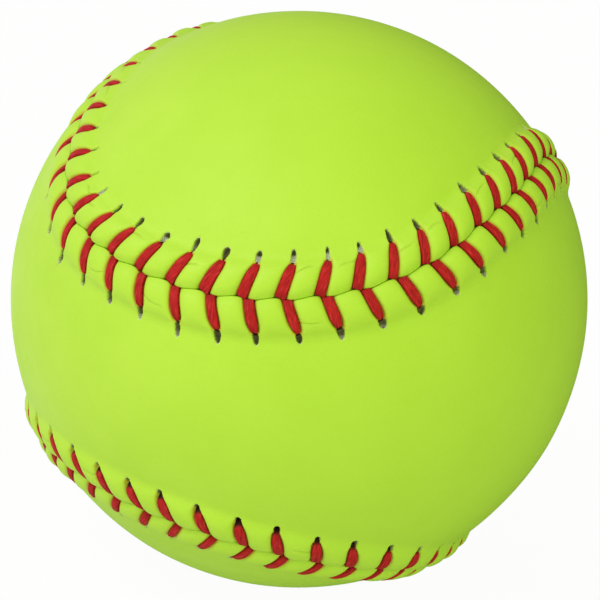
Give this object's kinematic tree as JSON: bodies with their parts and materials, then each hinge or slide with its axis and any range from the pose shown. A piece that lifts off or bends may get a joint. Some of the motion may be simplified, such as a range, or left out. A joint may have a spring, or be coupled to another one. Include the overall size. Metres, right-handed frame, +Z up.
{
  "type": "softball",
  "caption": "Round slow-pitch softball: solid core under a smooth optic yellow cover in two figure-eight panels, laced together with red thread along a raised seam.",
  "frame": {"origin": "centre of the ball", "axes": "+Z up through the top lobe of the back panel, -Y out of the front panel's waist, +X towards the front panel's right lobe"},
  "size_m": [0.097, 0.097, 0.097],
  "materials": {
    "core": "dull moulded polyurethane",
    "cover": "smooth satin optic yellow synthetic leather",
    "thread": "waxed red thread"
  },
  "bodies": {
    "root": {"core": "core", "front_panel": "cover", "back_panel": "cover", "first_thread": "thread", "second_thread": "thread"}
  },
  "joints": []
}
